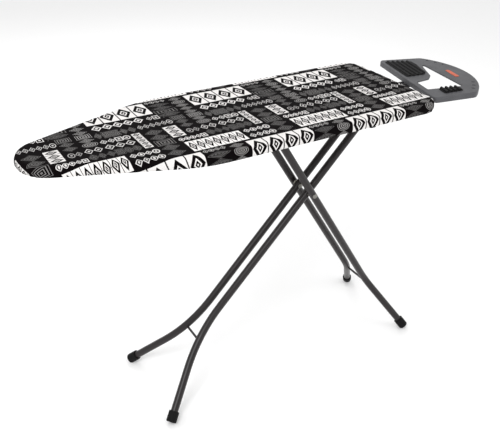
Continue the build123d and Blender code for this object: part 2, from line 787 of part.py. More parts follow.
for word, side in both_sides.items():
    nodes["guide_rail_" + word] = make_guide_rail(side)
    nodes["inner_tube_" + word] = make_inner_tube(side)
    nodes["outer_tube_" + word] = make_outer_tube(side)
    nodes["inner_foot_" + word] = inner_leg.foot_cap(side)
    nodes["outer_foot_" + word] = outer_leg.foot_cap(side)

os.makedirs("parts", exist_ok=True)
for name, shape in nodes.items():
    if isinstance(shape, list):
        shape = Compound(children=[Part() + piece for piece in shape])
    shape.label = name
    export_step(shape, "parts/" + name + ".step")
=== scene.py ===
import json
import logging
import math
from dataclasses import dataclass, field
from enum import Enum
from typing import Any, Optional

import bmesh
import bpy
from mathutils import Matrix, Vector, noise


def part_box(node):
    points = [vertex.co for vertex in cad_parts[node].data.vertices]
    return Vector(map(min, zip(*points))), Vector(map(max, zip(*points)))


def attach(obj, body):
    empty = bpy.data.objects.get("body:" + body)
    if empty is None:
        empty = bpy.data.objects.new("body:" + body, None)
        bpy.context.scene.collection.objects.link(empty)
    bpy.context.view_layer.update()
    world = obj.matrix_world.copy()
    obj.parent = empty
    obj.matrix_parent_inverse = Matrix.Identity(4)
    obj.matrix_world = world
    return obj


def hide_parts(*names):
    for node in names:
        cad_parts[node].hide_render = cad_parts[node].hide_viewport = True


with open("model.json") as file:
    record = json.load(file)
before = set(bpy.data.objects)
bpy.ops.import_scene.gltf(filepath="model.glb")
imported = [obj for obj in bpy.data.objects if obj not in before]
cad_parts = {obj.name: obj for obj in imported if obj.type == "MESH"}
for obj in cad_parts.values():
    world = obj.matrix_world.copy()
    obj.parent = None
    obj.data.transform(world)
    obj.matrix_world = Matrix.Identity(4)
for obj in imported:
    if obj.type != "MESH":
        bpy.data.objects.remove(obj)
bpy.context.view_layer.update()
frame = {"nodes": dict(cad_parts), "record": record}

MM = 0.001
Colour = tuple[float, float, float, float]
log = logging.getLogger("ironing_board")


# ---------------------------------------------------------------- helpers
def linear(hex_colour: str) -> Colour:
    """Turns an sRGB hex colour into linear RGBA.

    Args:
        hex_colour: A colour such as "#2e2a2b".

    Returns:
        The linear red, green and blue, with an alpha of 1.
    """
    digits = hex_colour.lstrip("#")
    channels = [int(digits[i : i + 2], 16) / 255 for i in (0, 2, 4)]
    curve = [c / 12.92 if c <= 0.04045 else ((c + 0.055) / 1.055) ** 2.4 for c in channels]
    return (curve[0], curve[1], curve[2], 1.0)


def smooth(low: float, high: float, value: float) -> float:
    """Eases from 0 at low to 1 at high.

    Args:
        low: Where the rise starts.
        high: Where it ends.
        value: The place asked about.

    Returns:
        A share from 0 to 1.
    """
    share = min(max((value - low) / (high - low), 0.0), 1.0)
    return share * share * (3 - 2 * share)


def as_object(bm: bmesh.types.BMesh, name: str) -> bpy.types.Object:
    """Turns a bmesh into a smooth-shaded object that sits at the origin.

    Args:
        bm: The finished bmesh, which is freed.
        name: The piece's name.

    Returns:
        The new object.
    """
    mesh = bpy.data.meshes.new(name)
    bm.to_mesh(mesh)
    bm.free()
    for polygon in mesh.polygons:
        polygon.use_smooth = True
    piece = bpy.data.objects.new(name, mesh)
    bpy.context.scene.collection.objects.link(piece)
    return piece


# ---------------------------------------------------------------- finishes
class Shader:
    """One material's node tree around a Principled shader."""

    def __init__(self, name: str) -> None:
        """Starts the tree with its shader and output.

        Args:
            name: The material's name.
        """
        self.material = bpy.data.materials.new(name)
        self.material.use_nodes = True
        self.tree = self.material.node_tree
        self.tree.nodes.clear()
        self.surface = self.add("ShaderNodeBsdfPrincipled")
        self.add("ShaderNodeOutputMaterial", {"Surface": self.surface.outputs["BSDF"]})

    def add(self, kind: str, inputs: Optional[dict] = None, **settings: Any) -> bpy.types.Node:
        """Adds a node with its settings, constants and links.

        A Mix node has its factor at 0. It takes colours at 6 and 7 and gives them at 2, takes
        vectors at 4 and 5 and gives them at 1, and takes numbers at 2 and 3 and gives them at 0.

        Args:
            kind: The node's Blender type.
            inputs: Socket name or index to a constant, or to the socket that feeds it.
            **settings: The node's own properties.

        Returns:
            The new node.
        """
        node = self.tree.nodes.new(kind)
        for key, value in settings.items():
            setattr(node, key, value)
        self.feed(node, inputs or {})
        return node

    def feed(self, node: bpy.types.Node, inputs: dict) -> None:
        """Sets or links a node's sockets.

        Args:
            node: The node.
            inputs: Socket name or index to a constant, or to the socket that feeds it.
        """
        for key, value in inputs.items():
            if isinstance(value, bpy.types.NodeSocket):
                self.tree.links.new(value, node.inputs[key])
            else:
                node.inputs[key].default_value = value


class Grain(Enum):
    """How a surface's fine relief is drawn: the noise's detail and lacunarity."""

    ORANGE_PEEL = (1.0, 2.0)
    SPARK = (5.0, 2.2)
    DRAWN = (3.0, 2.0)
    PORES = (0.0, 2.0)


@dataclass(frozen=True)
class Finish:
    """A solid material: its colours, gloss and fine relief.

    Attributes:
        name: The real material and how it was made.
        base: The main colour, sRGB.
        other: The colour that it drifts towards, sRGB.
        drift_mm: The size of the colour's patches.
        roughness: The roughness at the bottom and at the top of the relief.
        grain: The kind of relief.
        grain_mm: The size of one grain.
        depth_mm: The grain's height.
        metallic: 1 for bare metal.
        coat: The weight of a clear top layer.
        sheen: The weight of soft edge light.
        stretch: How closely the pattern is packed along each axis.
        specular: The strength of plain reflections, 0.5 for common plastics.
    """

    name: str
    base: str
    other: str
    drift_mm: float
    roughness: tuple[float, float]
    grain: Grain
    grain_mm: float
    depth_mm: float
    metallic: float = 0.0
    coat: float = 0.0
    sheen: float = 0.0
    stretch: tuple[float, float, float] = (1.0, 1.0, 1.0)
    specular: float = 0.5

    def material(self) -> bpy.types.Material:
        """Builds the node material.

        Returns:
            The finished material.
        """
        shader = Shader(self.name)
        place = shader.add("ShaderNodeTexCoord").outputs["Object"]
        drawn = shader.add("ShaderNodeMapping", {"Vector": place, "Scale": self.stretch}).outputs[0]
        # Slow patches: handling marks and uneven batches of paint or plastic.
        patches = shader.add(
            "ShaderNodeTexNoise", {"Vector": drawn, "Scale": 1000 / self.drift_mm, "Detail": 4.0}
        ).outputs["Fac"]
        drift = shader.add(
            "ShaderNodeMapRange", {"Value": patches, "From Min": 0.3, "From Max": 0.7}
        ).outputs[0]
        colour = shader.add(
            "ShaderNodeMix",
            {0: drift, 6: linear(self.base), 7: linear(self.other)},
            data_type="RGBA",
        ).outputs[2]
        relief = self._relief(shader, drawn)
        rubbed = shader.add(
            "ShaderNodeMath", {0: relief, 1: drift, 2: relief}, operation="MULTIPLY_ADD"
        )
        roughness = shader.add(
            "ShaderNodeMapRange",
            {
                "Value": rubbed.outputs[0],
                "From Max": 1.4,
                "To Min": self.roughness[0],
                "To Max": self.roughness[1],
            },
        ).outputs[0]
        bump = shader.add(
            "ShaderNodeBump", {"Height": relief, "Strength": 0.7, "Distance": self.depth_mm * MM}
        ).outputs[0]
        shader.feed(
            shader.surface,
            {
                "Base Color": colour,
                "Roughness": roughness,
                "Normal": bump,
                "Metallic": self.metallic,
                "Coat Weight": self.coat,
                "Sheen Weight": self.sheen,
                "Specular IOR Level": self.specular,
            },
        )
        return shader.material

    def _relief(self, shader: Shader, place: bpy.types.NodeSocket) -> bpy.types.NodeSocket:
        """Draws the fine relief.

        Args:
            shader: The tree.
            place: The coordinates.

        Returns:
            The height, from 0 to 1.
        """
        scale = 1000 / self.grain_mm
        if self.grain is Grain.PORES:
            pores = shader.add("ShaderNodeTexVoronoi", {"Vector": place, "Scale": scale})
            return pores.outputs["Distance"]
        detail, lacunarity = self.grain.value
        settings = {"Vector": place, "Scale": scale, "Detail": detail, "Lacunarity": lacunarity}
        return shader.add("ShaderNodeTexNoise", settings).outputs["Fac"]


class Ink(Enum):
    """How a printed figure is filled."""

    SLAB = 0
    BOLD = 1
    LINE = 2
    CONTOUR = 3


@dataclass(frozen=True)
class Band:
    """One printed block of small geometric figures, in millimetres on the flat cloth.

    Attributes:
        x: The lowest and highest place along the board.
        y: The lowest and highest place across it.
        count: The number of figures.
        ink: How they are filled.
        tone: The print's lightness, linear.
        turned: True where the figures run across the board.
    """

    x: tuple[float, float]
    y: tuple[float, float]
    count: int
    ink: Ink
    tone: float
    turned: bool = False


BANDS = (
    Band((-186, -7), (96, 173), 4, Ink.SLAB, 0.86),
    Band((-182, -46), (56, 90), 5, Ink.BOLD, 0.84),
    Band((-39, 14), (60, 83), 3, Ink.LINE, 0.75),
    Band((-191, -84), (11, 46), 5, Ink.CONTOUR, 0.26),
    Band((-80, 14), (17, 43), 6, Ink.LINE, 0.6),
    Band((-190, -114), (-20, 3), 4, Ink.BOLD, 0.66),
    Band((-109, -87), (-88, 3), 5, Ink.SLAB, 0.78, True),
    Band((-190, -114), (-56, -26), 3, Ink.LINE, 0.7),
    Band((-239, -194), (-56, -26), 2, Ink.LINE, 0.66),
    Band((-278, -243), (-56, -31), 2, Ink.LINE, 0.42),
    Band((-318, -243), (-93, -73), 5, Ink.BOLD, 0.8),
    Band((-239, -114), (-91, -60), 6, Ink.CONTOUR, 0.2),
    Band((-79, -32), (-159, 3), 5, Ink.CONTOUR, 0.22, True),
    Band((-314, -166), (-158, -100), 7, Ink.SLAB, 0.9),
    Band((-158, -84), (-123, -101), 4, Ink.BOLD, 0.78),
    Band((-158, -84), (-156, -132), 4, Ink.BOLD, 0.72),
    Band((-323, -287), (-64, 3), 3, Ink.SLAB, 0.82, True),
    Band((-279, -243), (-22, 57), 3, Ink.CONTOUR, 0.24, True),
    Band((-232, -194), (-20, 176), 8, Ink.CONTOUR, 0.42, True),
    Band((-300, -240), (160, 176), 4, Ink.LINE, 0.55),
    Band((-300, -238), (62, 156), 4, Ink.CONTOUR, 0.18, True),
)


# Sums that find the cell and its figures. A row is a result's name, the operation and its inputs.
FIGURE_SUMS: tuple[tuple[Any, ...], ...] = (
    ("half_count", "MULTIPLY", "count", 0.5),
    ("counted", "MULTIPLY_ADD", "along", "half_count", "half_count"),
    ("cell", "FLOOR", "counted"),
    ("phase", "FRACT", "counted"),
    ("centred", "MULTIPLY_ADD", "phase", 2.0, -1.0),
    # The place in the cell, from 0 in its middle to 1 at its edge: p along and q across.
    ("p", "ABSOLUTE", "centred"),
    ("q", "ABSOLUTE", "across"),
    # A number that differs from cell to cell and from block to block.
    ("key", "MULTIPLY_ADD", "tone", 37.0, "cell"),
    # The figures, each of which is 1 at its edge.
    ("lozenge", "ADD", "p", "q"),
    ("q_squared", "MULTIPLY", "q", "q"),
    ("radius_squared", "MULTIPLY_ADD", "p", "p", "q_squared"),
    ("disc", "POWER", "radius_squared", 0.5),
    ("leaf", "MULTIPLY_ADD", "q", "q", "p"),
    ("tile", "MAXIMUM", "p", "q"),
)

# Sums that fill the chosen figure in each ink.
INK_SUMS: tuple[tuple[Any, ...], ...] = (
    # A slab is printed solid, with a broad dark lozenge and a pale one inside it.
    ("slab_p", "DIVIDE", "p", 0.93),
    ("slab_q", "DIVIDE", "q", 0.97),
    ("slab_edge", "MAXIMUM", "slab_p", "slab_q"),
    ("slab", "LESS_THAN", "slab_edge", 1.0),
    ("groove", "COMPARE", "lozenge", 0.66, 0.2),
    ("eye", "COMPARE", "lozenge", 0.2, 0.1),
    ("grooved", "SUBTRACT", "slab", "groove"),
    (Ink.SLAB, "SUBTRACT", "grooved", "eye"),
    # A bold figure has a dark band inside it.
    ("body", "LESS_THAN", "shape", 0.98),
    ("hollow", "COMPARE", "shape", 0.5, 0.17),
    (Ink.BOLD, "SUBTRACT", "body", "hollow"),
    # A line figure is a stroke round a core.
    ("stroke", "COMPARE", "shape", 0.84, 0.12),
    ("core", "LESS_THAN", "shape", 0.3),
    (Ink.LINE, "MAXIMUM", "stroke", "core"),
    # A contour is thin lines round the figure.
    ("turns", "MULTIPLY", "shape", 21.0),
    ("ripple", "SINE", "turns"),
    ("crests", "GREATER_THAN", "ripple", 0.45),
    (Ink.CONTOUR, "MULTIPLY", "crests", "body"),
)


@dataclass(frozen=True)
class PrintedCotton:
    """Plain-woven cotton with a pigment print, which lies matt on near-black ground.

    Attributes:
        ground: The dyed ground, sRGB.
        ink: The pale pigment, sRGB.
        repeat_mm: The print's repeat along and across the board.
        thread_mm: The weave's thread spacing. Real threads are 0.4 mm apart, too fine to
            show, so they are drawn coarser.
        cloth_map: The UV map that holds the flat cloth in metres.
        wear_scale: The scale of the pigment's unevenness, in patches to the metre.
        wear_floor: The pigment's strength where it is thinnest.
        crown_mm: The height of the weave's crowns.
        shares: The random pick's upper limits for leaves, discs and lozenges. Above the
            first limit a figure is a tile.
    """

    ground: str = "#0b0809"
    ink: str = "#f7f4f2"
    repeat_mm: tuple[float, float] = (296.0, 338.0)
    thread_mm: float = 1.1
    cloth_map: str = "cloth"
    wear_scale: float = 420.0
    wear_floor: float = 0.78
    crown_mm: float = 0.22
    shares: tuple[float, float, float] = (0.82, 0.66, 0.56)

    def material(self) -> bpy.types.Material:
        """Builds the node material.

        Returns:
            The finished material.
        """
        shader = Shader("woven cotton, pigment printed")
        flat = shader.add("ShaderNodeUVMap", uv_map=self.cloth_map).outputs[0]
        print_mask = self._print(shader, flat)
        # Pigment sits on the yarn's crowns, so the print is broken up a little by the cloth.
        worn = shader.add(
            "ShaderNodeTexNoise", {"Vector": flat, "Scale": self.wear_scale, "Detail": 3.0}
        ).outputs["Fac"]
        cover = shader.add(
            "ShaderNodeMapRange",
            {"Value": worn, "From Min": 0.25, "From Max": 0.6, "To Min": self.wear_floor},
        ).outputs[0]
        mask = shader.add(
            "ShaderNodeMath", {0: print_mask, 1: cover}, operation="MULTIPLY"
        ).outputs[0]
        colour = shader.add(
            "ShaderNodeMix",
            {0: mask, 6: linear(self.ground), 7: linear(self.ink)},
            data_type="RGBA",
        ).outputs[2]
        weave = self._weave(shader, flat)
        bump = shader.add(
            "ShaderNodeBump", {"Height": weave, "Strength": 0.5, "Distance": self.crown_mm * MM}
        ).outputs[0]
        roughness = shader.add(
            "ShaderNodeMapRange", {"Value": weave, "To Min": 0.92, "To Max": 0.72}
        ).outputs[0]
        shader.feed(
            shader.surface,
            {
                "Base Color": colour,
                "Roughness": roughness,
                "Normal": bump,
                "Sheen Weight": 0.01,
                "Sheen Roughness": 0.5,
                "Specular IOR Level": 0.02,
            },
        )
        return shader.material

    def _weave(self, shader: Shader, flat: bpy.types.NodeSocket) -> bpy.types.NodeSocket:
        """Draws a plain weave: warp and weft crowns in a checker.

        Args:
            shader: The tree.
            flat: The flat cloth's place, in metres.

        Returns:
            The height, from 0 to 1.
        """
        turns = math.pi / (self.thread_mm * MM)
        phase = shader.add(
            "ShaderNodeVectorMath", {0: flat, 1: (turns, turns, 0)}, operation="MULTIPLY"
        ).outputs[0]
        wave = shader.add("ShaderNodeVectorMath", {0: phase}, operation="SINE").outputs[0]
        sides = shader.add("ShaderNodeSeparateXYZ", {0: wave}).outputs
        crowns = shader.add(
            "ShaderNodeMath", {0: sides[0], 1: sides[1]}, operation="MULTIPLY"
        ).outputs[0]
        return shader.add(
            "ShaderNodeMath", {0: crowns, 1: 0.5, 2: 0.5}, operation="MULTIPLY_ADD"
        ).outputs[0]

    def _print(self, shader: Shader, flat: bpy.types.NodeSocket) -> bpy.types.NodeSocket:
        """Lays out the blocks and draws the figures in them.

        Args:
            shader: The tree.
            flat: The flat cloth's place, in metres.

        Returns:
            The print's strength, from 0 to 1.
        """
        place = shader.add(
            "ShaderNodeVectorMath", {0: flat, 1: (1000, 1000, 0)}, operation="MULTIPLY"
        ).outputs[0]
        turned = shader.add(
            "ShaderNodeVectorRotate",
            {"Vector": place, "Angle": -math.pi / 2},
            rotation_type="Z_AXIS",
        ).outputs[0]
        local, facts = (0.0, 0.0, 0.0), (0.0, 0.0, 0.0)
        half = Vector((self.repeat_mm[0] / 2, self.repeat_mm[1] / 2, 1))
        half_turned = Vector((half.y, half.x, 1))
        for band in BANDS:
            centre = Vector(((band.x[0] + band.x[1]) / 2, (band.y[0] + band.y[1]) / 2, 0))
            size = Vector(((band.x[1] - band.x[0]) / 2, (band.y[1] - band.y[0]) / 2, 1))
            limit, source = half, place
            if band.turned:
                centre, size = Vector((centre.y, -centre.x, 0)), Vector((size.y, size.x, 1))
                limit, source = half_turned, turned
            # The nearest repeat of the block, as shares of its half sizes.
            share = source
            for operation, inputs in (
                ("SUBTRACT", {1: centre}),
                ("WRAP", {1: limit, 2: -limit}),
                ("DIVIDE", {1: size}),
            ):
                share = shader.add(
                    "ShaderNodeVectorMath", {0: share, **inputs}, operation=operation
                ).outputs[0]
            reach = shader.add("ShaderNodeVectorMath", {0: share}, operation="ABSOLUTE").outputs[0]
            sides = shader.add("ShaderNodeSeparateXYZ", {0: reach}).outputs
            far = shader.add(
                "ShaderNodeMath", {0: sides[0], 1: sides[1]}, operation="MAXIMUM"
            ).outputs[0]
            inside = shader.add(
                "ShaderNodeMath", {0: far, 1: 1.0}, operation="LESS_THAN"
            ).outputs[0]
            told = (float(band.count), float(band.ink.value), band.tone)
            local, facts = (
                shader.add(
                    "ShaderNodeMix", {0: inside, 4: old, 5: new}, data_type="VECTOR"
                ).outputs[1]
                for old, new in ((local, share), (facts, told))
            )
        return self._figures(shader, local, facts)

    def _figures(
        self, shader: Shader, local: bpy.types.NodeSocket, facts: bpy.types.NodeSocket
    ) -> bpy.types.NodeSocket:
        """Draws one figure in each cell of a block: a lozenge, a disc, a leaf or a tile.

        Args:
            shader: The tree.
            local: The place in the block, from -1 to 1 each way.
            facts: The block's count of figures, its ink and its tone.

        Returns:
            The print's strength, from 0 to 1.
        """
        names = ("along", "across", "", "count", "ink", "tone")
        known: dict[Any, Any] = {}
        for index, source in enumerate((local, facts)):
            split = shader.add("ShaderNodeSeparateXYZ", {0: source}).outputs
            known.update(zip(names[3 * index :], split))
        for name, operation, *items in FIGURE_SUMS:
            inputs = {index: known.get(item, item) for index, item in enumerate(items)}
            known[name] = shader.add("ShaderNodeMath", inputs, operation=operation).outputs[0]
        pick = shader.add(
            "ShaderNodeTexWhiteNoise", {"W": known["key"]}, noise_dimensions="1D"
        ).outputs["Value"]
        shape = known["tile"]
        for limit, name in zip(self.shares, ("leaf", "disc", "lozenge")):
            chosen = shader.add(
                "ShaderNodeMath", {0: pick, 1: limit}, operation="LESS_THAN"
            ).outputs[0]
            shape = shader.add(
                "ShaderNodeMix", {0: chosen, 2: shape, 3: known[name]}, data_type="FLOAT"
            ).outputs[0]
        known["shape"] = shape
        for name, operation, *items in INK_SUMS:
            inputs = {index: known.get(item, item) for index, item in enumerate(items)}
            known[name] = shader.add("ShaderNodeMath", inputs, operation=operation).outputs[0]
        drawn = known[Ink.CONTOUR]
        for style in (Ink.LINE, Ink.BOLD, Ink.SLAB):
            inputs = {0: known["ink"], 1: float(style.value), 2: 0.1}
            chosen = shader.add("ShaderNodeMath", inputs, operation="COMPARE").outputs[0]
            drawn = shader.add(
                "ShaderNodeMix", {0: chosen, 2: drawn, 3: known[style]}, data_type="FLOAT"
            ).outputs[0]
        pale = shader.add("ShaderNodeMath", {0: drawn, 1: 0.0}, operation="MAXIMUM").outputs[0]
        return shader.add(
            "ShaderNodeMath", {0: pale, 1: known["tone"]}, operation="MULTIPLY"
        ).outputs[0]


FINISHES = {
    # Foam sheet, cut: pale and dull, with open cells.
    "foam": Finish(
        "polyurethane foam, cut sheet", "#d8d2c2", "#c9c1ad", 40, (0.85, 0.98),
        Grain.PORES, 2.2, 0.6, sheen=0.1,
    ),
    # Stove-enamelled mesh: a satin pale grey skin over the pressed sheet.
    "painted_mesh": Finish(
        "steel sheet, stove enamelled", "#9a9da0", "#8b8e92", 60, (0.34, 0.5),
        Grain.ORANGE_PEEL, 2.5, 0.05,
    ),
    # Painted frame: thin satin black-grey.
    "frame_paint": Finish(
        "pressed steel, satin painted", "#29272a", "#222123", 50, (0.36, 0.52),
        Grain.ORANGE_PEEL, 2.0, 0.05, specular=0.3,
    ),
    # Powder coat: a thick semi-gloss skin with soft orange peel, which gives long soft highlights.
    "tube_paint": Finish(
        "steel tube, powder coated", "#241f20", "#1d191a", 70, (0.24, 0.38),
        Grain.ORANGE_PEEL, 1.6, 0.05, specular=0.36,
    ),
    # Zinc plate: greyed metal with slight streaks.
    "zinc_steel": Finish(
        "steel, bright zinc plated", "#8d8c89", "#77756f", 14, (0.22, 0.4),
        Grain.DRAWN, 1.2, 0.02, metallic=1.0, stretch=(1.0, 0.3, 1.0),
    ),
    # Spring wire: dark drawn metal under oil.
    "spring_steel": Finish(
        "spring wire, drawn and oiled", "#77797c", "#5d5e60", 8, (0.25, 0.4),
        Grain.DRAWN, 0.8, 0.02, metallic=1.0,
    ),
    # Polypropylene from a spark-eroded mould: matt dark grey with a fine grain.
    "grey_plastic": Finish(
        "polypropylene, moulded with a spark grain", "#4f4f52", "#464649", 60, (0.4, 0.6),
        Grain.SPARK, 1.3, 0.1, specular=0.35,
    ),
    # Black plastic, moulded: dense and slightly glossy.
    "black_plastic": Finish(
        "polypropylene, moulded smooth", "#0e0d0e", "#151415", 30, (0.35, 0.5),
        Grain.SPARK, 1.0, 0.04, specular=0.25,
    ),
    # Nylon, moulded: milky and waxy.
    "nylon": Finish(
        "nylon, moulded", "#dedbd0", "#d0ccbf", 20, (0.35, 0.5), Grain.SPARK, 0.8, 0.02
    ),
    # Silicone: very dark and dull.
    "silicone": Finish(
        "silicone rubber, moulded", "#0c0b0c", "#141314", 18, (0.6, 0.8),
        Grain.SPARK, 0.9, 0.08, specular=0.2,
    ),
    # Plain strip, moulded in orange.
    "orange_plastic": Finish(
        "ABS, moulded in orange", "#c9501f", "#bb481b", 20, (0.3, 0.42), Grain.SPARK, 0.8, 0.03
    ),
    # Foot caps: matt black rubber.
    "foot_rubber": Finish(
        "rubber, moulded", "#080708", "#111011", 12, (0.55, 0.78),
        Grain.SPARK, 1.2, 0.12, specular=0.15,
    ),
}


# ---------------------------------------------------------------- board
@dataclass
class BoardOutline:
    """The board's plan: nose arc, tapered sides, shoulders, parallel sides and end corners.

    Attributes:
        nose_radius: The nose arc.
        taper_corner: Where the tapered and parallel sides would meet, from the nose.
        shoulder_radius: The arc between them.
        corner_radius: The two end corners.
        spacing: The distance between points round the edge.
        middle_reach: How far from each end the middle line, which tells in from out, stops.
        weld: The distance under which two points are one.
        nose_x: The nose's tip.
        end_x: The wide end.
        half_width: Half the board's width.
        taper: The tapered side's angle to the board's length.
        shoulder_x: The place of the shoulder arc's centre.
    """

    nose_radius: float = 83 * MM
    taper_corner: float = 377 * MM
    shoulder_radius: float = 353 * MM
    corner_radius: float = 53 * MM
    spacing: float = 4.2 * MM
    middle_reach: float = 0.2
    weld: float = 0.01 * MM
    nose_x: float = field(init=False)
    end_x: float = field(init=False)
    half_width: float = field(init=False)
    taper: float = field(init=False)
    shoulder_x: float = field(init=False)

    def __post_init__(self) -> None:
        """Takes the board's ends and width from the CAD cover."""
        low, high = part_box("ironing_cover")
        self.nose_x, self.end_x, self.half_width = low.x, high.x, high.y
        run = self.taper_corner - self.nose_radius
        reach = math.hypot(run, self.half_width)
        self.taper = math.atan2(self.half_width, run) - math.asin(self.nose_radius / reach)
        rise = self.shoulder_radius * math.tan(self.taper / 2)
        self.shoulder_x = self.nose_x + self.taper_corner + rise

    def ring(self, bm: bmesh.types.BMesh) -> None:
        """Draws the closed outline from one vertex, by spins and straight runs, then a mirror.

        Args:
            bm: An empty bmesh.
        """
        tip = bm.verts.new((self.nose_x, 0, 0))
        tip = self._arc(bm, tip, (self.nose_x + self.nose_radius, 0), math.pi / 2 - self.taper)
        shoulder = Vector((self.shoulder_x, self.half_width - self.shoulder_radius, 0))
        across = Vector((-math.sin(self.taper), math.cos(self.taper), 0))
        tip = self._run(bm, tip, shoulder + across * self.shoulder_radius)
        tip = self._arc(bm, tip, shoulder.xy, self.taper)
        corner = Vector((self.end_x - self.corner_radius, self.half_width - self.corner_radius, 0))
        tip = self._run(bm, tip, corner + Vector((0, self.corner_radius, 0)))
        tip = self._arc(bm, tip, corner.xy, math.pi / 2)
        self._run(bm, tip, Vector((self.end_x, 0, 0)))
        bmesh.ops.mirror(bm, geom=bm.verts[:] + bm.edges[:], axis="Y", merge_dist=self.weld)
        bmesh.ops.remove_doubles(bm, verts=bm.verts[:], dist=self.weld)

    def _arc(
        self, bm: bmesh.types.BMesh, tip: bmesh.types.BMVert, centre: Any, angle: float
    ) -> bmesh.types.BMVert:
        """Spins the last vertex clockwise about a centre.

        Args:
            bm: The outline so far.
            tip: Its last vertex.
            centre: The arc's centre in plan.
            angle: The turn, in radians.

        Returns:
            The new last vertex.
        """
        radius = math.hypot(tip.co.x - centre[0], tip.co.y - centre[1])
        steps = max(4, round(radius * angle / self.spacing))
        spun = bmesh.ops.spin(
            bm,
            geom=[tip],
            cent=(centre[0], centre[1], 0),
            axis=(0, 0, -1),
            angle=angle,
            steps=steps,
        )
        return [v for v in spun["geom_last"] if isinstance(v, bmesh.types.BMVert)][0]

    def _run(
        self, bm: bmesh.types.BMesh, tip: bmesh.types.BMVert, end: Vector
    ) -> bmesh.types.BMVert:
        """Extrudes the last vertex along a straight line.

        Args:
            bm: The outline so far.
            tip: Its last vertex.
            end: Where the line ends.

        Returns:
            The new last vertex.
        """
        steps = max(1, round((end - tip.co).length / self.spacing))
        step = (end - tip.co) / steps
        for _ in range(steps):
            grown = bmesh.ops.extrude_vert_indiv(bm, verts=[tip])["verts"]
            bmesh.ops.translate(bm, verts=grown, vec=step)
            tip = grown[0]
        return tip

    def outward(self, vert: bmesh.types.BMVert) -> Vector:
        """The outline's outward direction at one of its vertices.

        Args:
            vert: A vertex of the closed outline.

        Returns:
            A unit vector in plan.
        """
        near, far = (edge.other_vert(vert).co for edge in vert.link_edges[:2])
        along = (far - near).normalized()
        side = Vector((along.y, -along.x, 0))
        inner_x = max(vert.co.x, self.nose_x + self.middle_reach)
        middle = Vector((min(inner_x, self.end_x - self.middle_reach), 0, 0))
        return side if side.dot(vert.co - middle) > 0 else -side


@dataclass(frozen=True)
class Station:
    """One ring of the cloth, from the top's middle to the hem.

    Attributes:
        out: How far outside the outline it lies.
        drop: How far below the board's top.
        cut: How far outside the outline the same thread lies on the flat cloth.
        ripple: How far gathers push it outward.
        lift: How far gathers lift it.
        inner: The share of the way in to the board's spine, for the top.
    """

    out: float
    drop: float
    cut: float
    ripple: float = 0.0
    lift: float = 0.0
    inner: float = 0.0


@dataclass(frozen=True)
class Slack:
    """Unevenness of cloth over foam, as one layer of noise.

    Attributes:
        x: The waves' scale along the board, to the metre.
        y: Their scale across it.
        layer: The slice of noise that is used.
        rise: Their height, in millimetres.
    """

    x: float
    y: float
    layer: float
    rise: float


